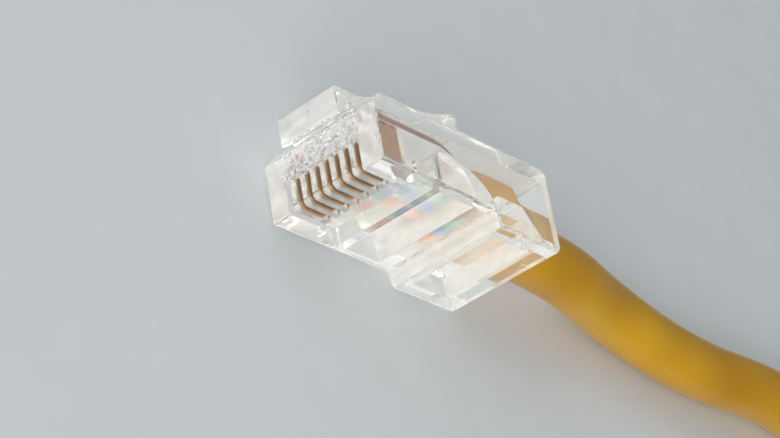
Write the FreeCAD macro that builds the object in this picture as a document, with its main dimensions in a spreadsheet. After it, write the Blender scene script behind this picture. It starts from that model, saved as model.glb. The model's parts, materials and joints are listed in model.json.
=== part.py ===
# Short patch lead with a clear 8-position 8-contact modular plug on each end.
# Millimetres. The origin is the middle of the front face of the near plug's nose: +X runs back
# along the plug to the cable, +Y points to the latch side and +Z to the side of contact 8.
# The plug lies on its side, so the surface that it rests on is at Z = -body_width / 2.
import FreeCAD, Part
import math
import os
import re
import Sketcher
from FreeCAD import Placement, Rotation, Vector

SIZES = {
    # outside of the moulded housing; the step is given as distances from the rear end
    "body_width": 11.68, "body_length": 21.46, "nose_height": 6.5, "rear_height": 7.9,
    "step_start": 8.46, "step_end": 7.56, "step_radius": 0.7, "nose_chamfer": 1.25,
    "side_round": 0.35, "rear_round": 0.7, "nose_round": 0.2,
    # wires and contacts
    "pins": 8, "wire_pitch": 1.02, "wire_size": 0.9, "core_size": 0.51, "fit_gap": 0.04,
    "wire_front": 1.1, "wire_depth": 1.62, "wire_bend": 9.6, "mouth_pitch": 0.64, "wire_rise": 0.9,
    "wire_lead": 0.5, "wire_tail": 1.0,
    "blade_thick": 0.35, "blade_front": 0.55, "blade_length": 2.95, "blade_recess": 0.5,
    "blade_top": 2.3, "blade_corner": 0.8, "blade_bevel": 0.3, "prong_rise": 0.95,
    "prong_width": 0.6, "prong_point": 0.18, "prong_first": 0.8, "prong_spacing": 1.15,
    # comb of slots over the contacts
    "slot_width": 0.5, "slot_top": 3.6, "slot_end": 3.75, "slot_bevel": 0.25, "comb_round": 0.5,
    "comb_back": 3.5, "comb_margin": 0.25,
    # passages inside the housing: depths below the latch face, and distances from the rear end
    "channel_wall": 1.1, "channel_end": 8.6, "channel_lead": 0.5, "cavity_wall": 1.0,
    "cavity_gap": 0.07, "ramp_start": 9.86, "ramp_depth": 3.1, "ramp_end": 7.26, "ramp_foot": 5.0,
    "ramp_radius": 4.2, "bar_front": 6.56, "bar_rear": 3.56, "bar_depth": 4.4,
    "mouth_length": 1.56, "mouth_wall": 1.2, "mouth_flare": 0.35,
    # recesses in the contact face
    "relief_front": 4.45, "relief_rear": 6.7, "relief_depth": 1.55, "relief_wall": 0.81,
    "pocket_front": 7.5, "pocket_rear": 9.91, "pocket_roof": 3.0, "pocket_bow": 0.955145,
    "pocket_land": 0.5, "pocket_bevel": 0.3,
    "anchor_front": 6.96, "anchor_rear": 2.76, "anchor_rise": 1.8, "anchor_wall": 1.49,
    "anchor_draft": 0.1,
    # mark of the ejector pin, and of the gate through which the plastic came in
    "mark_size": 2.1, "mark_depth": 0.06, "mark_back": 1.46, "mark_side": 2.04,
    "gate_size": 0.5, "gate_rise": 0.1, "gate_height": 0.55,
    # latch, its lever and the living hinge
    "latch_width": 6.1, "lever_width": 3.2, "latch_reach": 0.85, "latch_drop": 1.1,
    "latch_top": 1.36, "latch_round": 0.22, "latch_lip": 0.25, "latch_heel": 0.35,
    "latch_under": 0.3, "shoulder_front": 2.0, "shoulder_back": 6.8, "shoulder_top": 2.95,
    "shoulder_under": 1.6, "lever_root": 2.6, "lever_root_under": 1.0, "lever_crown": 0.25,
    "lever_bend": 10.46, "lever_bend_under": 3.0, "lever_bend_top": 4.25, "lever_flare": 7.7,
    "lever_flare_top": 4.95, "lever_back": 5.06, "lever_tip_top": 5.9, "lever_tip_under": 4.4,
    "lever_round": 0.4,
    "hinge_back": 0.85, "hinge_rise": 0.1, "hinge_radius": 0.3, "hinge_gap": 0.06,
    "hinge_root": 0.6, "hinge_web": 0.5,
    # cable
    "cable_size": 5.4, "cable_depth": 3.8, "jacket_wall": 0.4, "jacket_front": 7.46,
    "jacket_mouth": 3.4, "jacket_width": 7.5, "jacket_gap": 0.1,
    # where the far plug lies
    "far_back": 22.6, "far_side": -55.0,
}

doc = FreeCAD.newDocument("patch_lead")
sheet = doc.addObject("Spreadsheet::Sheet", "sizes")
for row, (name, value) in enumerate(SIZES.items(), start=1):
    sheet.set("A%d" % row, name)
    sheet.set("B%d" % row, str(value))
    sheet.setAlias("B%d" % row, name)
doc.recompute()


def rule(text):
    """An expression in the sheet's own names, such as "body_width / 2"."""
    def bound(word):
        return "sizes." + word.group() if word.group() in SIZES else word.group()

    return re.sub(r"[a-z_]+", bound, text)


def size(text):
    """The value in millimetres of an expression in the sheet's names."""
    return float(sheet.evalExpression(rule(text)))


# The faces that the other places are given from.
LATCH_FACE = "nose_height / 2"
CONTACT_FACE = "-nose_height / 2"
REAR_FACE = "nose_height / 2 - rear_height"
CAVITY_WIDTH = "pins * wire_pitch + 2 * cavity_gap"


def below(depth):
    """Height of a point that lies this deep under the latch face."""
    return "%s - (%s)" % (LATCH_FACE, depth)


def ahead(distance):
    """Place of a point that lies this far in front of the rear end."""
    return "body_length - (%s)" % distance


def disc(x, y, radius):
    """The corners of a circle round x, y, as four arcs."""
    return [("%s + (%s)" % (x, radius), y, radius), (x, "%s + (%s)" % (y, radius), radius),
            ("%s - (%s)" % (x, radius), y, radius), (x, "%s - (%s)" % (y, radius), radius)]


def bowed(start, end, bow):
    """Radius of the arc from start to end that stands out from the straight line by bow."""
    across, up = ["(%s - (%s)) ^ 2" % pair for pair in zip(end, start)]
    return "(%s + %s) / (8 * %s) + %s / 2" % (across, up, bow, bow)


def bind(thing, path, text):
    thing.setExpression(path, rule(text))


def origin_plane(body, role):
    return next(feature for feature in body.Origin.OriginFeatures if feature.Role == role)


def arc_between(start, end, radius):
    """The short arc from start to end that turns to the left round its centre."""
    chord = end - start
    middle = (start + end) / 2
    height = math.sqrt(radius ** 2 - (chord.Length / 2) ** 2)
    centre = middle + Vector(-chord.y, chord.x, 0).normalize() * height
    outward = (middle - centre).normalize()
    return Part.Arc(start, centre + outward * radius, end)


def outline(body, name, corners, offset="0", role="XY_Plane"):
    """A closed sketch through corners, each "x", "y" and, where an arc leaves it, the arc's radius."""
    sketch = body.newObject("Sketcher::SketchObject", name)
    sketch.AttachmentSupport = (origin_plane(body, role), [""])
    sketch.MapMode = "FlatFace"
    bind(sketch, "AttachmentOffset.Base.z", offset)
    points = [Vector(size(corner[0]), size(corner[1]), 0) for corner in corners]
    count = len(corners)
    for index, corner in enumerate(corners):
        start, end = points[index], points[(index + 1) % count]
        if len(corner) < 3:
            sketch.addGeometry(Part.LineSegment(start, end), False)
            continue
        radius = size(corner[2])
        flipped = radius < 0
        arc = arc_between(end, start, -radius) if flipped else arc_between(start, end, radius)
        sketch.addGeometry(arc, False)
    ends = []
    for index in range(count):
        curve = sketch.Geometry[index]
        starts_here = curve.StartPoint.distanceToPoint(points[index]) < 1e-6
        ends.append((1, 2) if starts_here else (2, 1))
    for index in range(count):
        after = (index + 1) % count
        sketch.addConstraint(Sketcher.Constraint(
            "Coincident", index, ends[index][1], after, ends[after][0]))
    for index, corner in enumerate(corners):
        for kind, text in (("DistanceX", corner[0]), ("DistanceY", corner[1])):
            place = Sketcher.Constraint(kind, -1, 1, index, ends[index][0], size(text))
            label = "%s_%d" % (kind, index)
            sketch.renameConstraint(sketch.addConstraint(place), label)
            bind(sketch, "Constraints." + label, text)
        if len(corner) == 3:
            text = corner[2].lstrip("-")
            label = "Radius_%d" % index
            bend = Sketcher.Constraint("Radius", index, size(text))
            sketch.renameConstraint(sketch.addConstraint(bend), label)
            bind(sketch, "Constraints." + label, text)
    return sketch


def grow(body, kind, name, corners, width, offset="0", role="XY_Plane"):
    """A pad or pocket of an outline, as wide as given and centred on the outline's plane."""
    feature = body.newObject("PartDesign::" + kind, name)
    feature.Profile = outline(body, name + "_outline", corners, offset, role)
    feature.SideType = "Symmetric"
    bind(feature, "Length", width)
    doc.recompute()
    return feature


def rounded(body, name, base, radius, chosen):
    """Rounds the edges of base that the test picks, by their middle point and direction."""
    names = []
    for number, edge in enumerate(base.Shape.Edges, start=1):
        middle = edge.valueAt((edge.FirstParameter + edge.LastParameter) / 2)
        if chosen(middle, edge.tangentAt(edge.FirstParameter)):
            names.append("Edge%d" % number)
    feature = body.newObject("PartDesign::Fillet", name)
    feature.Base = (base, names)
    bind(feature, "Radius", radius)
    doc.recompute()
    return feature


def near(value, text):
    return abs(value - size(text)) < 1e-4


def new_body(name):
    body = doc.addObject("PartDesign::Body", name)
    body.Label = name
    return body


def new_solid(name, shape, placement=Placement()):
    solid = doc.addObject("Part::Feature", name)
    solid.Shape = shape
    solid.Placement = placement
    solid.Label = name
    return solid


# Housing: one clear polycarbonate moulding. The nose is lower than the rear, and a curved step on
# the contact side joins them.
def make_housing():
    body = new_body("housing")
    step_middle = ahead("(step_start + step_end) / 2")
    shell = grow(body, "Pad", "shell", [
        ("0", CONTACT_FACE), (ahead("step_start"), CONTACT_FACE, "-step_radius"),
        (step_middle, "-rear_height / 2", "step_radius"), (ahead("step_end"), REAR_FACE),
        ("body_length", REAR_FACE), ("body_length", LATCH_FACE),
        ("nose_chamfer", LATCH_FACE), ("0", below("nose_chamfer"))], "body_width")
    # A round stands on each corner of the rear, and a finer one on the nose.
    rear = rounded(body, "rear_rounds", shell, "rear_round", lambda middle, along: (
        abs(along.z) > 0.9 and near(middle.x, "body_length")))
    nose = rounded(body, "nose_rounds", rear, "nose_round", lambda middle, along: (
        abs(along.z) > 0.9 and near(middle.x, "0")))
    shell = rounded(body, "side_rounds", nose, "side_round", lambda middle, along: (
        near(abs(middle.z), "body_width / 2") and abs(along.z) < 0.1))
    make_comb(body)
    make_passages(body)
    make_recesses(body)
    make_ejector_mark(body)
    make_hinge_bead(body)
    return body


# Comb: a slot over each contact. It opens the nose from the front face round to the contact face
# and leads up to that wire's place in the channel.
def make_comb(body):
    first = "-(pins - 1) / 2 * wire_pitch"
    blade_back = "blade_front + blade_length + fit_gap"
    slot = grow(body, "Pocket", "slot", [
        ("-1", CONTACT_FACE + " - 1"), ("slot_end", CONTACT_FACE + " - 1"),
        ("slot_end", below("slot_top + 2 * slot_bevel")),
        ("%s + (slot_end - (%s)) / 2" % (blade_back, blade_back), below("slot_top")),
        (blade_back, below("slot_top")), (blade_back, below("wire_depth")),
        ("blade_front - fit_gap", below("wire_depth")),
        ("blade_front - fit_gap", below("slot_top")),
        ("-1", below("slot_top"))], "slot_width", first)
    comb = body.newObject("PartDesign::LinearPattern", "comb")
    comb.Originals = [slot]
    comb.Direction = (origin_plane(body, "Z_Axis"), [""])
    bind(comb, "Length", "(pins - 1) * wire_pitch")
    bind(comb, "Occurrences", "pins")
    body.Tip = comb
    doc.recompute()
    grow(body, "Pocket", "comb_corner", [
        ("-1", CONTACT_FACE + " - 1"), ("comb_round", CONTACT_FACE + " - 1"),
        ("comb_round", CONTACT_FACE, "-comb_round"), ("0", CONTACT_FACE + " + comb_round"),
        ("-1", CONTACT_FACE + " + comb_round")], "(pins - 1) * wire_pitch + slot_width")


# Passages: the flat channel that holds the wires in a row, and behind it the cavity for the cable.
# Its floor is a curved ramp that leads the wires up, and then the anchor bar that grips the jacket.
def make_passages(body):
    mouth = below("rear_height - mouth_wall")
    channel_floor = below("wire_depth + wire_size / 2 + fit_gap")
    grow(body, "Pocket", "passage", [
        ("wire_front - fit_gap", channel_floor), ("channel_end", channel_floor),
        (ahead("ramp_start"), below("ramp_depth"), "-ramp_radius"),
        (ahead("ramp_end"), below("ramp_foot")), (ahead("bar_front"), below("bar_depth")),
        (ahead("bar_rear"), below("bar_depth")), (ahead("mouth_length"), mouth),
        ("body_length + 1", mouth), ("body_length + 1", below("cavity_wall")),
        ("channel_end", below("cavity_wall")), ("channel_end - channel_lead", below("channel_wall")),
        ("wire_front - fit_gap", below("channel_wall"))], CAVITY_WIDTH)
    grow(body, "Pocket", "mouth_flare_floor", [
        ("body_length - mouth_flare", mouth), ("body_length", mouth + " - mouth_flare"),
        ("body_length + 1", mouth + " - mouth_flare"), ("body_length + 1", mouth)], CAVITY_WIDTH)


# Recesses in the contact face: the wire strain relief behind the comb, a pocket that keeps the
# wall even, and the window in which the anchor bar was pressed down on the jacket.
def make_recesses(body):
    under = CONTACT_FACE + " - 1"
    roof = CONTACT_FACE + " + relief_depth"
    relief_width = "body_width - 2 * relief_wall"
    grow(body, "Pocket", "comb_back", [
        ("comb_back", under), ("relief_rear", under), ("relief_rear", roof), ("comb_back", roof)],
        "(pins - 1) * wire_pitch + slot_width + 2 * comb_margin")
    grow(body, "Pocket", "wire_relief", [
        ("relief_front", under), ("relief_rear", under), ("relief_rear", roof), ("relief_front", roof)],
        relief_width)
    foot = (ahead("pocket_rear"), CONTACT_FACE + " + pocket_bevel")
    crown = ("pocket_front + pocket_bevel + pocket_land", below("pocket_roof"))
    grow(body, "Pocket", "core_out", [
        ("pocket_front", under), (ahead("pocket_rear"), under),
        (*foot, bowed(foot, crown, "pocket_bow")), crown,
        ("pocket_front + pocket_bevel", below("pocket_roof")),
        ("pocket_front", below("pocket_roof + pocket_bevel"))], relief_width)
    floor = REAR_FACE + " - 1"
    top = REAR_FACE + " + anchor_rise"
    grow(body, "Pocket", "anchor_window", [
        (ahead("anchor_front"), floor), (ahead("anchor_rear - anchor_draft"), floor),
        (ahead("anchor_rear"), top), (ahead("anchor_front"), top)], "body_width - 2 * anchor_wall")


# Ejector mark: a shallow round print beside the mouth, where a pin pushed the moulding out.
def make_ejector_mark(body):
    grow(body, "Pocket", "ejector_mark", disc(
        ahead("mark_back"), "body_width / 2 - mark_side", "mark_size / 2"),
        "2 * mark_depth", "-(%s)" % REAR_FACE, "XZ_Plane")


# Living hinge: the thin root of the latch. It is a bead on the corner of the nose, and the latch
# is cut to turn round it.
def make_hinge_bead(body):
    axis = ("hinge_back", LATCH_FACE + " + hinge_rise")
    grow(body, "Pad", "hinge_neck", [
        (axis[0] + " - hinge_radius * 0.6", axis[1]),
        (axis[0] + " - hinge_radius * 0.6", below("hinge_root")),
        (axis[0] + " + hinge_radius * 0.8", below("hinge_root")),
        (axis[0] + " + hinge_radius * 0.8", axis[1])], "latch_width")
    grow(body, "Pad", "hinge_bead", disc(*axis, "hinge_radius"), "latch_width")


# Latch: a block that hangs over the nose, two shoulders that catch in the jack, and the narrow
# lever that a thumb presses. It is part of the same moulding, and bends at the living hinge.
def make_latch():
    body = new_body("latch")
    face = LATCH_FACE
    blade = grow(body, "Pad", "shoulders", [
        ("-latch_reach + latch_lip", face + " - latch_drop"), ("0", face + " - latch_drop + latch_heel"),
        ("hinge_back - hinge_web", face + " - hinge_rise"),
        ("hinge_back - hinge_web", face + " + latch_under"),
        ("hinge_back + hinge_web", face + " + latch_under"),
        ("shoulder_back", face + " + shoulder_under"),
        ("shoulder_back", face + " + shoulder_top"), ("shoulder_front", face + " + latch_top"),
        ("-latch_reach", face + " + latch_top"),
        ("-latch_reach", face + " - latch_drop + latch_round")], "latch_width")
    rounded(body, "block_rounds", blade, "latch_round", lambda middle, along: (
        middle.x < size("-latch_reach / 2") and middle.y > size(face)))
    lever = grow(body, "Pad", "lever", [
        ("lever_root", face + " + lever_root_under"), ("shoulder_back", face + " + shoulder_under"),
        (ahead("lever_bend"), face + " + lever_bend_under"),
        (ahead("lever_back"), face + " + lever_tip_under"),
        (ahead("lever_back"), face + " + lever_tip_top"),
        (ahead("lever_flare"), face + " + lever_flare_top"),
        (ahead("lever_bend"), face + " + lever_bend_top"),
        ("shoulder_back", face + " + shoulder_top + lever_crown"),
        ("lever_root", face + " + latch_top + lever_crown")], "lever_width")
    rounded(body, "lever_tip_rounds", lever, "lever_round", lambda middle, along: (
        abs(along.z) > 0.9 and near(middle.x, ahead("lever_back"))))
    grow(body, "Pocket", "hinge_seat", disc(
        "hinge_back", face + " + hinge_rise", "hinge_radius + hinge_gap"), "latch_width + 1")
    grow(body, "Pad", "gate_vestige", disc(
        face + " + gate_height", "0", "gate_size / 2"), "2 * gate_rise", "-latch_reach", "YZ_Plane")
    return body


# Contact: a blanked gold-plated blade. Its rounded edge meets the spring in the jack, and its
# two prongs pierce the wire.
def make_contact(number):
    body = new_body("contact_%d" % number)
    offset = "(%d - (pins + 1) / 2) * wire_pitch" % number
    foot = CONTACT_FACE + " + blade_recess"
    back = "blade_front + blade_length"
    corners = [
        ("blade_front", foot + " + blade_corner", "blade_corner"), ("blade_front + blade_corner", foot),
        (back + " - blade_bevel", foot), (back, foot + " + blade_bevel"), (back, below("blade_top"))]
    for prong in (1, 0):
        middle = "blade_front + prong_first + %d * prong_spacing" % prong
        corners += [
            (middle + " + prong_width / 2", below("blade_top")),
            (middle + " + prong_point / 2", below("blade_top - prong_rise")),
            (middle + " - prong_point / 2", below("blade_top - prong_rise")),
            (middle + " - prong_width / 2", below("blade_top"))]
    corners.append(("blade_front", below("blade_top")))
    grow(body, "Pad", "blade_%d" % number, corners, "blade_thick", offset)
    return body


# Wires: they lie side by side in the channel. Behind it they draw together and step up and down
# by turns, so that the eight go into the jacket two deep.
def wire_route(number):
    place = number - (size("pins") + 1) / 2
    side = 1 if number % 2 else -1
    start_y = size(below("wire_depth"))
    mouth_y = size(below("cavity_wall + jacket_gap + jacket_mouth / 2")) + side * size("wire_rise / 2")
    start_z, mouth_z = place * size("wire_pitch"), place * size("mouth_pitch")
    return [
        Vector(size("wire_front"), start_y, start_z), Vector(size("wire_bend"), start_y, start_z),
        Vector(size(ahead("jacket_front + wire_lead")), mouth_y, mouth_z),
        Vector(size(ahead("jacket_front - wire_tail")), mouth_y, mouth_z)]


def round_bar(route, outside, inside=0.0):
    """A round bar or tube along straight runs, with an arc of 0.45 of the shorter run at each corner."""
    def section(point, along):
        rim = Part.Wire(Part.makeCircle(outside / 2, point, along))
        if not inside:
            return Part.Face(rim)
        bore = Part.Wire(Part.makeCircle(inside / 2, point, along))
        return Part.makeFace([rim, bore], "Part::FaceMakerBullseye")

    pieces = []
    radii = []
    length = 0.0
    last = route[0]
    for before, corner, after in zip(route, route[1:], route[2:]):
        trim = 0.45 * min((before - corner).Length, (after - corner).Length)
        back, ahead = (before - corner).normalize(), (after - corner).normalize()
        turn = math.pi - back.getAngle(ahead)
        radius = trim / math.tan(turn / 2)
        start = corner + back * trim
        centre = corner + (back + ahead).normalize() * (radius / math.cos(turn / 2))
        pieces.append(section(last, -back).extrude(start - last))
        pieces.append(section(start, -back).revolve(centre, ahead.cross(back), math.degrees(turn)))
        length += (start - last).Length + radius * turn
        radii.append(radius)
        last = corner + ahead * trim
    pieces.append(section(last, route[-1] - last).extrude(route[-1] - last))
    length += (route[-1] - last).Length
    return pieces[0].multiFuse(pieces[1:]).removeSplitter(), length, radii


def make_wire(number, contact):
    """The insulation and the core of one wire, each slit where the contact's prongs go through."""
    route = wire_route(number)
    insulation = round_bar(route, size("wire_size"), size("core_size"))[0]
    core = round_bar(route, size("core_size"))[0]
    return (new_solid("wire_%d" % number, insulation.cut(contact.Shape)),
            new_solid("conductor_%d" % number, core.cut(contact.Shape)))


# Jacket inside the plug: round where it comes out, and pressed flat between the anchor bar and
# the roof. Its open end shows the wires going in.
def make_jacket_end():
    wall = size("jacket_wall")
    roof = size(below("cavity_wall + jacket_gap"))
    radius = size("cable_size / 2")
    axis = size(below("cable_depth"))
    mouth, width = size("jacket_mouth / 2"), size("jacket_width / 2")
    flat = size("(bar_depth - cavity_wall) / 2 - jacket_gap")

    def ring(x, centre, half_width, half_height):
        curve = Part.Circle() if half_width == half_height else Part.Ellipse()
        if half_width == half_height:
            curve.Radius = half_width
        else:
            curve.MajorRadius, curve.MinorRadius = half_width, half_height
        wire = Part.Wire(curve.toShape())
        across = Rotation(Vector(0, 0, 1), Vector(0, 1, 0), Vector(-1, 0, 0))
        wire.Placement = Placement(Vector(x, centre, 0), across)
        return wire

    outer = Part.makeLoft([
        ring(size(ahead("jacket_front")), roof - mouth, width, mouth),
        ring(size(ahead("bar_front")), roof - flat, width, flat),
        ring(size(ahead("bar_rear + jacket_gap")), roof - flat, width, flat),
        ring(size(ahead("mouth_length - jacket_wall")), axis, radius, radius),
        ring(size("body_length"), axis, radius, radius)], True, True)
    inner = Part.makeLoft([
        ring(size(ahead("jacket_front + jacket_gap")), roof - mouth, width - wall, mouth - wall),
        ring(size(ahead("jacket_front - wire_tail - jacket_gap")), roof - mouth, width - wall,
             mouth - wall)], True, True)
    return new_solid("jacket_end", outer.cut(inner))


# Cable: the free lead, straight out of the near plug, down on to the surface, round in one wide
# bend and back to the far plug. Each corner of its route is an arc.
FLOOR = -3.12
CABLE_ROUTE = [
    (21.46, -0.55, 0), (29.0, -0.55, 0), (38.5, 0.0, -2.75), (46.5, -1.6, FLOOR),
    (54.5, -2.3, FLOOR), (64.0, -1.6, FLOOR), (75.3, -3.6, FLOOR), (87.2, -11.0, FLOOR),
    (93.3, -23.0, FLOOR), (93.3, -36.2, FLOOR), (87.0, -48.4, FLOOR), (75.6, -55.2, FLOOR),
    (64.0, -56.0, -2.9), (53.6, -55.55, 0), (44.06, -55.55, 0)]


def make_cable():
    tube, length, radii = round_bar([Vector(*point) for point in CABLE_ROUTE], size("cable_size"))
    expected = math.pi * size("cable_size / 2") ** 2 * length
    print("cable length %.1f mm, radii %s" % (length, " ".join("%.0f" % radius for radius in radii)))
    print("cable volume over section times length: %.4f" % (tube.Volume / expected))
    return new_solid("cable", tube)


housing = make_housing()
latch = make_latch()
contacts = [make_contact(number) for number in range(1, int(size("pins")) + 1)]
wires = [make_wire(number, contact) for number, contact in enumerate(contacts, start=1)]
jacket_end = make_jacket_end()
cable = make_cable()

# Far plug: the same pieces again, where the lead ends.
far_place = Placement(Vector(size("far_back"), size("far_side"), 0), Rotation())
near_pieces = [housing, latch, *contacts, *[insulation for insulation, core in wires], jacket_end]
far_pieces = [new_solid("far_" + piece.Label, piece.Shape.copy(), far_place) for piece in near_pieces]
far_cores = Part.Compound([core.Shape for insulation, core in wires])
far_pieces.append(new_solid("far_conductors", far_cores, far_place))

pieces = near_pieces + [core for insulation, core in wires] + [cable] + far_pieces
doc.recompute()
for thing in doc.Objects:
    if "Invalid" in thing.State or "Error" in thing.State:
        raise RuntimeError("%s did not build: %s" % (thing.Label, thing.State))
os.makedirs("parts", exist_ok=True)
for piece in pieces:
    if piece.Shape.isNull() or not piece.Shape.isValid():
        raise RuntimeError("%s has no sound shape" % piece.Label)
    piece.Shape.exportStep("parts/%s.step" % piece.Label)
print("%d pieces written" % len(pieces))
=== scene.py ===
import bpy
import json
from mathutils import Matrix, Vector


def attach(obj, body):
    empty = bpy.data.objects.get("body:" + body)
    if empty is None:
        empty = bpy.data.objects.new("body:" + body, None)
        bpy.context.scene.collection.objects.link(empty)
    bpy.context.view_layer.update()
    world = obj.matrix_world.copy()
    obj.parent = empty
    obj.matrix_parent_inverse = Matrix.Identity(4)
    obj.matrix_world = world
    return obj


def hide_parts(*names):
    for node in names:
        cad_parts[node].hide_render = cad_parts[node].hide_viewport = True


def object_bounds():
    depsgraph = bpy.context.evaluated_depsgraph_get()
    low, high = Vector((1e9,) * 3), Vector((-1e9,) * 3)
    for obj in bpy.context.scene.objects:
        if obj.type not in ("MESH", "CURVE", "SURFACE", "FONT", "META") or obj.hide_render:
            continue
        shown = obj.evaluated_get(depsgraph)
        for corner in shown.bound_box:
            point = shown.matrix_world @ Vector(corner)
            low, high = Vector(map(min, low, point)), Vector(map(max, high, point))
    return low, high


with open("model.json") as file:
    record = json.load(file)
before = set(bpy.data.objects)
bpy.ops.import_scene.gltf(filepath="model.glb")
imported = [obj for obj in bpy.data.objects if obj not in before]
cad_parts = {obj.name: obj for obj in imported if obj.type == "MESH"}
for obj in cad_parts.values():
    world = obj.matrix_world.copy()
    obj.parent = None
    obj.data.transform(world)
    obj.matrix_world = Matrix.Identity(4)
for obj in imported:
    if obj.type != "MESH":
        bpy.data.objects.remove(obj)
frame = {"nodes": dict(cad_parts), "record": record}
cad_box = [list(corner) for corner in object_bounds()]

import bpy
import json
from mathutils import Matrix, Vector

# ---- Viewpoint -------------------------------------------------------------------------------
# A long lens looks down on the plug's contact side from in front of its nose, with the
# camera tilted on its axis so that the lead runs off to the lower right.
CAMERA_PLACE = Vector((-0.1326, -0.104475, 0.1055))
CAMERA_RIGHT = Vector((0.6630, -0.1525, 0.7329)).normalized()
CAMERA_UP = Vector((-0.2873, 0.8522, 0.4373)).normalized()
LENS, SENSOR = 120, 36
NEAREST, FARTHEST = 0.005, 20
# Light turns often inside the clear moulding before it comes out again.
BOUNCES = 24

camera = bpy.data.objects.new("camera", bpy.data.cameras.new("camera"))
bpy.context.scene.collection.objects.link(camera)
camera.data.lens = LENS
camera.data.sensor_width = SENSOR
camera.data.clip_start, camera.data.clip_end = NEAREST, FARTHEST
turn = Matrix((CAMERA_RIGHT, CAMERA_UP, CAMERA_RIGHT.cross(CAMERA_UP))).transposed()
camera.matrix_world = Matrix.Translation(CAMERA_PLACE) @ turn.to_4x4()
bpy.context.scene.camera = camera
bpy.context.scene.view_settings.view_transform = "Standard"
bpy.context.scene.cycles.max_bounces = BOUNCES
bpy.context.scene.cycles.transmission_bounces = BOUNCES
bpy.context.scene.cycles.glossy_bounces = BOUNCES

# ---- Table and light -------------------------------------------------------------------------
# A plain table top of painted board that the lead lies on, lit by two large soft boxes and an
# even sky. It isn't part of the object.
FLOOR_SIZE, AIR = 3.0, 0.00002


def linear(hex_colour):
    """A colour written as sRGB hex, as the linear RGBA that a shader takes."""
    parts = [int(hex_colour[i:i + 2], 16) / 255 for i in (1, 3, 5)]
    return tuple(c / 12.92 if c <= 0.04045 else ((c + 0.055) / 1.055) ** 2.4 for c in parts) + (1.0,)


def add_node(tree, kind, links=(), **settings):
    """Adds a node, sets its sockets or its own settings by name, and links (socket, source) pairs."""
    node = tree.nodes.new(kind)
    for name, value in settings.items():
        socket = node.inputs.get(name.replace("_", " "))
        if socket is not None:
            socket.default_value = value
        else:
            setattr(node, name, value)
    for socket, source in links:
        tree.links.new(source, node.inputs[socket])
    return node


def new_material(name):
    """An empty material with its node tree and its output node."""
    material = bpy.data.materials.new(name)
    material.use_nodes = True
    material.node_tree.nodes.clear()
    return material, material.node_tree, material.node_tree.nodes.new("ShaderNodeOutputMaterial")


bpy.ops.object.select_all(action="DESELECT")
bpy.ops.mesh.primitive_plane_add(size=FLOOR_SIZE, location=(0, 0, cad_box[0][2] - AIR))
floor = bpy.context.object
floor.name = "table_top"
bpy.ops.object.transform_apply(location=True)
# A satin paint on board: its roller peel breaks the light up very slightly. Seen through the
# plastic or mirrored in it, the table is as bright as a light table.
ROLLER_PEEL = 0.004
table_paint, tree, out = new_material("satin_table_paint")
place = add_node(tree, "ShaderNodeTexCoord")
peel = add_node(tree, "ShaderNodeTexNoise", [("Vector", place.outputs["Object"])],
                Scale=1 / ROLLER_PEEL, Detail=2.0)
shade = add_node(tree, "ShaderNodeValToRGB", [("Fac", peel.outputs[0])])
shade.color_ramp.elements[0].color = linear("#DEE2E4")
shade.color_ramp.elements[1].color = linear("#E4E8EA")
relief = add_node(tree, "ShaderNodeBump", [("Height", peel.outputs[0])],
                  Strength=0.1, Distance=0.00005)
paint = add_node(tree, "ShaderNodeBsdfPrincipled", [
    ("Base Color", shade.outputs[0]), ("Normal", relief.outputs[0])], Roughness=0.6)
glow = add_node(tree, "ShaderNodeEmission", Color=linear("#CDD2D5"), Strength=1.0)
ray = add_node(tree, "ShaderNodeLightPath")
bounced = add_node(tree, "ShaderNodeMath", [
    (0, ray.outputs["Is Glossy Ray"]), (1, ray.outputs["Is Transmission Ray"])], operation="MAXIMUM")
surface = add_node(tree, "ShaderNodeMixShader", [
    (0, bounced.outputs[0]), (1, paint.outputs[0]), (2, glow.outputs[0])])
tree.links.new(surface.outputs[0], out.inputs["Surface"])
floor.data.materials.append(table_paint)

# The sky is even. Through the plastic it shows as a white tent, greyer towards the horizon.
SKY_STRENGTH = 0.40
world = bpy.data.worlds.new("studio")
bpy.context.scene.world = world
world.use_nodes = True
tree = world.node_tree
sky = tree.nodes["Background"]
sky.inputs["Color"].default_value = linear("#DEE3E6")
sky.inputs["Strength"].default_value = SKY_STRENGTH
ray = add_node(tree, "ShaderNodeLightPath")
place = add_node(tree, "ShaderNodeTexCoord")
height = add_node(tree, "ShaderNodeSeparateXYZ", [("Vector", place.outputs["Generated"])])
tent = add_node(tree, "ShaderNodeValToRGB", [("Fac", height.outputs["Z"])])
tent.color_ramp.elements[0].position = 0.05
tent.color_ramp.elements[0].color = linear("#C9CFD2")
tent.color_ramp.elements[1].position = 0.45
tent.color_ramp.elements[1].color = linear("#FFFFFF")
white = add_node(tree, "ShaderNodeBackground", [("Color", tent.outputs[0])], Strength=1.0)
seen = add_node(tree, "ShaderNodeMixShader", [
    (0, ray.outputs["Is Transmission Ray"]), (1, sky.outputs[0]), (2, white.outputs[0])])
tree.links.new(seen.outputs[0], tree.nodes["World Output"].inputs["Surface"])

# The key lamp stands in front, on the contact side. A weak one over the latch side fills in.
LAMP_SIZE, LIT_POINT = 0.50, Vector((0.012, 0, 0))
for name, place, power in (
    ("key_softbox", (-0.42, -0.40, 0.17), 4.0),
    ("rear_softbox", (-0.10, 0.42, 0.36), 0.8),
):
    lamp = bpy.data.objects.new(name, bpy.data.lights.new(name, "AREA"))
    bpy.context.scene.collection.objects.link(lamp)
    lamp.data.size = LAMP_SIZE
    lamp.data.energy = power
    lamp.location = place
    lamp.rotation_euler = (LIT_POINT - Vector(place)).to_track_quat("-Z", "Y").to_euler()

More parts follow.
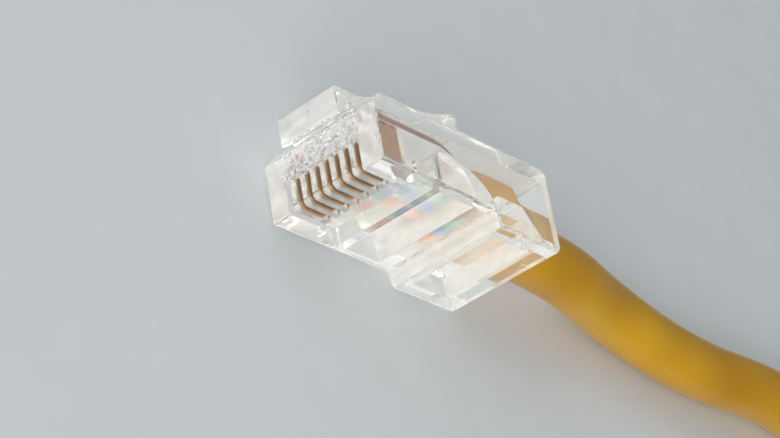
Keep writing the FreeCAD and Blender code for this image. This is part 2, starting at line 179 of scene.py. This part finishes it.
# ---- Cable -----------------------------------------------------------------------------------
# The round patch cable: four twisted pairs in an extruded PVC jacket. It leaves the near plug
# level, sinks to the table, turns round in an easy U and enters the far plug level again.
CABLE_SIZE, CABLE_LENGTH = 0.0054, 0.1526
TABLE = cad_box[0][2]
LYING = TABLE + CABLE_SIZE / 2 + AIR
CABLE_ROUTE = [
    (0.02146, -0.00055, 0.0),
    (0.0290, -0.00055, 0.0),
    (0.0385, 0.0, -0.00275),
    (0.0465, -0.0016, LYING),
    (0.0545, -0.0023, LYING),
    (0.0640, -0.0016, LYING),
    (0.0753, -0.0036, LYING),
    (0.0872, -0.0110, LYING),
    (0.0933, -0.0230, LYING),
    (0.0933, -0.0362, LYING),
    (0.0870, -0.0484, LYING),
    (0.0756, -0.0552, LYING),
    (0.0640, -0.0560, -0.0029),
    (0.0536, -0.05555, 0.0),
    (0.04406, -0.05555, 0.0),
]
# Each point carries the cord's own radius, and the bevel of 1 m passes it on unchanged.
line = bpy.data.curves.new("cable_line", "CURVE")
line.dimensions = "3D"
spline = line.splines.new("NURBS")
spline.points.add(len(CABLE_ROUTE) - 1)
for point, place in zip(spline.points, CABLE_ROUTE):
    point.co = (*place, 1.0)
    point.radius = CABLE_SIZE / 2
spline.order_u = 3
spline.use_endpoint_u = True
spline.resolution_u = 16
line.bevel_depth = 1.0
line.bevel_resolution = 8
line.use_fill_caps = True
cable = bpy.data.objects.new("patch_cable", line)
bpy.context.scene.collection.objects.link(cable)
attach(cable, "plug")
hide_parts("cable")

# Flexible PVC straight from the die: a soft sheen, a fine grain, and slow waves where the twisted
# pairs press through the jacket. The grain is drawn coarser than the real one, so that it shows.
PVC_GRAIN, PAIR_LAY = 0.0004, 0.012
jacket_pvc, tree, out = new_material("extruded_pvc")
place = add_node(tree, "ShaderNodeTexCoord")
grain = add_node(tree, "ShaderNodeTexNoise", [("Vector", place.outputs["Object"])],
                 Scale=1 / PVC_GRAIN, Detail=3.0)
lay = add_node(tree, "ShaderNodeTexNoise", [("Vector", place.outputs["Object"])],
               Scale=1 / PAIR_LAY, Detail=1.0)
tint = add_node(tree, "ShaderNodeValToRGB", [("Fac", lay.outputs[0])])
tint.color_ramp.elements[0].position = 0.3
tint.color_ramp.elements[0].color = linear("#B98310")
tint.color_ramp.elements[1].position = 0.7
tint.color_ramp.elements[1].color = linear("#CB9A20")
sheen = add_node(tree, "ShaderNodeMapRange", [("Value", grain.outputs[0])], To_Min=0.34, To_Max=0.5)
waves = add_node(tree, "ShaderNodeBump", [("Height", lay.outputs[0])], Strength=0.6, Distance=0.0012)
fine = add_node(tree, "ShaderNodeBump", [
    ("Height", grain.outputs[0]), ("Normal", waves.outputs[0])], Strength=0.3, Distance=0.00003)
pvc = add_node(tree, "ShaderNodeBsdfPrincipled", [
    ("Base Color", tint.outputs[0]), ("Roughness", sheen.outputs[0]), ("Normal", fine.outputs[0])],
    Specular_IOR_Level=0.3)
tree.links.new(pvc.outputs[0], out.inputs["Surface"])
line.materials.append(jacket_pvc)
# Inside the plug the jacket takes a copy of its material with a deeper yellow: painted shade, for the
# shade of the moulding over it.
shaded_jacket_pvc = jacket_pvc.copy()
shaded_jacket_pvc.name = "shaded_jacket_pvc"
shaded_ramp = shaded_jacket_pvc.node_tree.nodes[tint.name].color_ramp
for stop, colour in zip(shaded_ramp.elements, ("#9C6C04", "#AF7E0A")):
    stop.color = linear(colour)
for name in ("jacket_end", "far_jacket_end"):
    frame["nodes"][name].material_slots[0].material = shaded_jacket_pvc

# ---- Housing and latch -----------------------------------------------------------------------
# One clear polycarbonate moulding: the body with its comb, passages and recesses, and the latch
# on its living hinge. Most of the mould is polished, so its faces come out glassy, with slow flow
# marks that bend what is seen through them.
POLYCARBONATE_IOR = 1.585
FLOW_MARK = 0.0022
SOFT_EDGE = 0.85


def inside_box(tree, place, centre, half):
    """A value that is 1 inside a box given by its centre and half sizes, and 0 outside it."""
    offset = add_node(tree, "ShaderNodeVectorMath", [(0, place)], operation="SUBTRACT")
    offset.inputs[1].default_value = centre
    either_way = add_node(tree, "ShaderNodeVectorMath", [(0, offset.outputs[0])], operation="ABSOLUTE")
    share = add_node(tree, "ShaderNodeVectorMath", [(0, either_way.outputs[0])], operation="DIVIDE")
    share.inputs[1].default_value = half
    along = add_node(tree, "ShaderNodeSeparateXYZ", [("Vector", share.outputs[0])])
    wider = add_node(tree, "ShaderNodeMath", [(0, along.outputs[0]), (1, along.outputs[1])],
                     operation="MAXIMUM")
    widest = add_node(tree, "ShaderNodeMath", [(0, wider.outputs[0]), (1, along.outputs[2])],
                      operation="MAXIMUM")
    return add_node(tree, "ShaderNodeMapRange", [("Value", widest.outputs[0])],
                    From_Min=1.0, From_Max=SOFT_EDGE, interpolation_type="SMOOTHSTEP").outputs[0]


polycarbonate, tree, out = new_material("clear_polycarbonate")
place = add_node(tree, "ShaderNodeTexCoord")
flow = add_node(tree, "ShaderNodeTexNoise", [("Vector", place.outputs["Object"])],
                Scale=1 / FLOW_MARK, Detail=2.0, Roughness=0.4)
flow_marks = add_node(tree, "ShaderNodeBump", [("Height", flow.outputs[0])],
                      Strength=0.25, Distance=0.00004)
clear = add_node(tree, "ShaderNodeBsdfPrincipled", [("Normal", flow_marks.outputs[0])],
                 Base_Color=linear("#FBFAF6"), Roughness=0.03, IOR=POLYCARBONATE_IOR,
                 Transmission_Weight=0.96)

# Both plugs come from one mould, so places on the far one are counted from its own nose.
far_nose = next(mount["pos_m"] for mount in frame["record"]["mounts"] if mount["name"] == "far_nose")
spot = add_node(tree, "ShaderNodeSeparateXYZ", [("Vector", place.outputs["Object"])])
is_far = add_node(tree, "ShaderNodeMath", [(0, spot.outputs["Y"])], operation="LESS_THAN")
is_far.inputs[1].default_value = far_nose[1] / 2
shift = add_node(tree, "ShaderNodeVectorMath", [(1, is_far.outputs[0])], operation="MULTIPLY")
shift.inputs[0].default_value = far_nose
in_mould = add_node(tree, "ShaderNodeVectorMath", [
    (0, place.outputs["Object"]), (1, shift.outputs[0])], operation="SUBTRACT").outputs[0]
facing = add_node(tree, "ShaderNodeSeparateXYZ", [("Vector", place.outputs["Normal"])])

# Faces square to the plug's length come off spark-eroded steel. They carry a cloudy frost that
# catches the light, but for the fins and the inside of the nose, where the mould is polished.
TURNED, SQUARE_ON = 0.45, 0.75
NOSE_FROM, NOSE_TO = 0.0004, 0.0082
FIN_CENTRE, FIN_HALF = (0.0005, -0.0018, 0.0), (0.0012, 0.0016, 0.0041)
square_on = add_node(tree, "ShaderNodeMath", [(0, facing.outputs["X"])], operation="ABSOLUTE")
eroded = add_node(tree, "ShaderNodeMapRange", [("Value", square_on.outputs[0])],
                  From_Min=TURNED, From_Max=SQUARE_ON, interpolation_type="SMOOTHSTEP")
where = add_node(tree, "ShaderNodeSeparateXYZ", [("Vector", in_mould)])
polished = add_node(tree, "ShaderNodeMath", [(0, where.outputs["X"])], operation="COMPARE")
polished.inputs[1].default_value = (NOSE_FROM + NOSE_TO) / 2
polished.inputs[2].default_value = (NOSE_TO - NOSE_FROM) / 2
fins = inside_box(tree, in_mould, FIN_CENTRE, FIN_HALF)
smooth = add_node(tree, "ShaderNodeMath", [(0, polished.outputs[0]), (1, fins)], operation="MAXIMUM")
rough = add_node(tree, "ShaderNodeMath", [(0, eroded.outputs[0]), (1, smooth.outputs[0])],
                 operation="SUBTRACT", use_clamp=True)
cloud = add_node(tree, "ShaderNodeMapRange", [("Value", flow.outputs[0])],
                 From_Min=0.3, From_Max=0.7, To_Min=0.6)
frosted = add_node(tree, "ShaderNodeMath", [(0, rough.outputs[0]), (1, cloud.outputs[0])],
                   operation="MULTIPLY")
frost = add_node(tree, "ShaderNodeBsdfPrincipled", [("Normal", flow_marks.outputs[0])],
                 Base_Color=linear("#EFECE6"), Roughness=0.3, IOR=POLYCARBONATE_IOR,
                 Transmission_Weight=0.5)

# The cores that form the passages and the comb's foot are dull, so their floors and roofs are
# hazy, and the colours of the wires show through as pastels.
CORE_CENTRE, CORE_HALF = (0.0065, -0.0003, 0.0), (0.0065, 0.0019, 0.0056)
FOOT_CENTRE, FOOT_HALF = (0.0019, -0.0031, 0.0), (0.0021, 0.0005, 0.0044)
level = add_node(tree, "ShaderNodeMath", [(0, facing.outputs["Y"])], operation="ABSOLUTE")
core = inside_box(tree, in_mould, CORE_CENTRE, CORE_HALF)
foot = inside_box(tree, in_mould, FOOT_CENTRE, FOOT_HALF)
dull = add_node(tree, "ShaderNodeMath", [(0, core), (1, foot)], operation="MAXIMUM")
cored = add_node(tree, "ShaderNodeMath", [(0, level.outputs[0]), (1, dull.outputs[0])],
                 operation="MULTIPLY")
haze = add_node(tree, "ShaderNodeBsdfPrincipled", [("Normal", flow_marks.outputs[0])],
                Base_Color=linear("#F6F4F0"), Roughness=0.25, IOR=POLYCARBONATE_IOR,
                Transmission_Weight=0.72)
inner = add_node(tree, "ShaderNodeMixShader", [
    (0, cored.outputs[0]), (1, clear.outputs[0]), (2, haze.outputs[0])])
surface = add_node(tree, "ShaderNodeMixShader", [
    (0, frosted.outputs[0]), (1, inner.outputs[0]), (2, frost.outputs[0])])

# The wall in front of the wire ends is dimpled. Some dimples are bright and some are bruised, so
# the ends break up into sparks of colour between white flecks.
DIMPLE = 0.00035
BRIGHT, BRUISED = 0.2, 0.7
BAND_CENTRE, BAND_HALF = (0.0003, 0.0010, 0.0), (0.0011, 0.0013, 0.0043)
in_band = inside_box(tree, in_mould, BAND_CENTRE, BAND_HALF)
dimples = add_node(tree, "ShaderNodeTexVoronoi", [("Vector", place.outputs["Object"])],
                   Scale=1 / DIMPLE)
dimpled = add_node(tree, "ShaderNodeBump", [("Height", dimples.outputs["Distance"])],
                   Strength=1.0, Distance=0.00016)
sparkling = add_node(tree, "ShaderNodeBsdfPrincipled", [("Normal", dimpled.outputs[0])],
                     Base_Color=linear("#FFFFFF"), Roughness=0.08, IOR=POLYCARBONATE_IOR,
                     Transmission_Weight=0.94)
bruised = add_node(tree, "ShaderNodeBsdfPrincipled", [("Normal", dimpled.outputs[0])],
                   Base_Color=linear("#FFFFFF"), Roughness=0.3, IOR=POLYCARBONATE_IOR,
                   Transmission_Weight=0.58)
cell = add_node(tree, "ShaderNodeSeparateColor", [("Color", dimples.outputs["Color"])])
bruises = add_node(tree, "ShaderNodeMapRange", [("Value", cell.outputs[0])],
                   From_Min=BRIGHT, From_Max=BRUISED, interpolation_type="SMOOTHSTEP")
patchy = add_node(tree, "ShaderNodeMixShader", [
    (0, bruises.outputs[0]), (1, sparkling.outputs[0]), (2, bruised.outputs[0])])
front = add_node(tree, "ShaderNodeMixShader", [
    (0, in_band), (1, surface.outputs[0]), (2, patchy.outputs[0])])

# Light goes through to the wires and the table almost unhindered.
light_path = add_node(tree, "ShaderNodeLightPath")
let_through = add_node(tree, "ShaderNodeBsdfTransparent", Color=linear("#F2F4F2"))
lit = add_node(tree, "ShaderNodeMixShader", [
    (0, light_path.outputs["Is Shadow Ray"]), (1, front.outputs[0]), (2, let_through.outputs[0])])
tree.links.new(lit.outputs[0], out.inputs["Surface"])
for name in ("housing", "latch", "far_housing", "far_latch"):
    frame["nodes"][name].material_slots[0].material = polycarbonate

# ---- Contacts --------------------------------------------------------------------------------
# Eight blades in each plug, stamped from phosphor bronze strip and pressed into the comb.
# The edges that meet the jack are gold plated, warm and a little dull. The flanks are painted a
# duller, darker brown: painted shade, for the shade that falls on them between the fins. The punch
# leaves lines across them, drawn coarser than the real ones so as to show.
PUNCH_LINE, PUNCH_STRETCH = 0.00012, (1.0, 0.15, 1.0)
gold_plate, tree, out = new_material("gold_plated_bronze")
place = add_node(tree, "ShaderNodeTexCoord")
drawn = add_node(tree, "ShaderNodeMapping", [("Vector", place.outputs["Object"])])
drawn.inputs["Scale"].default_value = PUNCH_STRETCH
lines = add_node(tree, "ShaderNodeTexNoise", [("Vector", drawn.outputs[0])],
                 Scale=1 / PUNCH_LINE, Detail=2.0)
tone = add_node(tree, "ShaderNodeValToRGB", [("Fac", lines.outputs[0])])
tone.color_ramp.elements[0].position = 0.3
tone.color_ramp.elements[0].color = linear("#CE9A62")
tone.color_ramp.elements[1].position = 0.7
tone.color_ramp.elements[1].color = linear("#F0CB96")
punched = add_node(tree, "ShaderNodeBump", [("Height", lines.outputs[0])],
                   Strength=0.4, Distance=0.00002)
gold = add_node(tree, "ShaderNodeBsdfPrincipled", [
    ("Base Color", tone.outputs[0]), ("Normal", punched.outputs[0])], Roughness=0.32, Metallic=1.0)
# Painted shade: the flanks get a duller, darker brown than the gold, for the shade between the fins.
flank_shade = add_node(tree, "ShaderNodeBsdfPrincipled", [("Normal", punched.outputs[0])],
                  Base_Color=linear("#96662E"), Roughness=0.45, Metallic=0.35)
facing = add_node(tree, "ShaderNodeSeparateXYZ", [("Vector", place.outputs["Normal"])])
flank = add_node(tree, "ShaderNodeMath", [(0, facing.outputs["Z"])], operation="ABSOLUTE")
gold_and_flank_shade = add_node(tree, "ShaderNodeMixShader", [
    (0, flank.outputs[0]), (1, gold.outputs[0]), (2, flank_shade.outputs[0])])
tree.links.new(gold_and_flank_shade.outputs[0], out.inputs["Surface"])

# Drawn copper, inside the insulation: faint die lines run along the wire, drawn coarser than the
# real ones so as to show.
DIE_LINE, DIE_STRETCH = 0.00008, (0.1, 1.0, 1.0)
copper_wire, tree, out = new_material("drawn_copper")
place = add_node(tree, "ShaderNodeTexCoord")
drawn = add_node(tree, "ShaderNodeMapping", [("Vector", place.outputs["Object"])])
drawn.inputs["Scale"].default_value = DIE_STRETCH
lines = add_node(tree, "ShaderNodeTexNoise", [("Vector", drawn.outputs[0])],
                 Scale=1 / DIE_LINE, Detail=2.0)
tone = add_node(tree, "ShaderNodeValToRGB", [("Fac", lines.outputs[0])])
tone.color_ramp.elements[0].color = linear("#B4683F")
tone.color_ramp.elements[1].color = linear("#D98F68")
copper = add_node(tree, "ShaderNodeBsdfPrincipled", [("Base Color", tone.outputs[0])],
                  Roughness=0.35, Metallic=1.0)
tree.links.new(copper.outputs[0], out.inputs["Surface"])
for name, node in frame["nodes"].items():
    if "contact" in name:
        node.material_slots[0].material = gold_plate
    if "conductor" in name:
        node.material_slots[0].material = copper_wire

# ---- Insulated wires -------------------------------------------------------------------------
# Four twisted pairs in solid polyethylene skins, laid side by side in the order of the common
# wiring scheme B. The odd wires are white with a printed stripe of their partner's colour, and a
# slow drift in the sheen shows the extrusion.
WIRE_COLOURS = ["#E9DFCB", "#E2762A", "#E1E8DA", "#2F74C4", "#DDE4EC", "#2BA56C", "#E4DACF", "#733430"]
STRIPE_COLOURS = {1: "#E2762A", 3: "#2BA56C", 5: "#2F74C4", 7: "#733430"}
STRIPE_SIDE, STRIPE_EDGE, STRIPE = (0.0, -0.5, 0.866), 0.80, 0.84
DRIFT = 0.0015
for number, colour in enumerate(WIRE_COLOURS, start=1):
    insulation, tree, out = new_material("wire_insulation_%d" % number)
    place = add_node(tree, "ShaderNodeTexCoord")
    drift = add_node(tree, "ShaderNodeTexNoise", [("Vector", place.outputs["Object"])],
                     Scale=1 / DRIFT, Detail=2.0)
    sheen = add_node(tree, "ShaderNodeMapRange", [("Value", drift.outputs[0])], To_Min=0.3, To_Max=0.5)
    turned = add_node(tree, "ShaderNodeVectorMath", [(0, place.outputs["Normal"])],
                      operation="DOT_PRODUCT")
    turned.inputs[1].default_value = STRIPE_SIDE
    striped = add_node(tree, "ShaderNodeMapRange", [("Value", turned.outputs["Value"])],
                       From_Min=STRIPE_EDGE, From_Max=STRIPE)
    skin_colour = add_node(tree, "ShaderNodeMix", [("Factor", striped.outputs[0])], data_type="RGBA")
    skin_colour.inputs["A"].default_value = linear(colour)
    skin_colour.inputs["B"].default_value = linear(STRIPE_COLOURS.get(number, colour))
    skin = add_node(tree, "ShaderNodeBsdfPrincipled", [
        ("Base Color", skin_colour.outputs["Result"]), ("Roughness", sheen.outputs[0])])
    tree.links.new(skin.outputs[0], out.inputs["Surface"])
    for name in ("wire_%d" % number, "far_wire_%d" % number):
        frame["nodes"][name].material_slots[0].material = insulation

# ---- Finish ----------------------------------------------------------------------------------
# The view layer is brought up to date with all that was added.
bpy.context.view_layer.update()
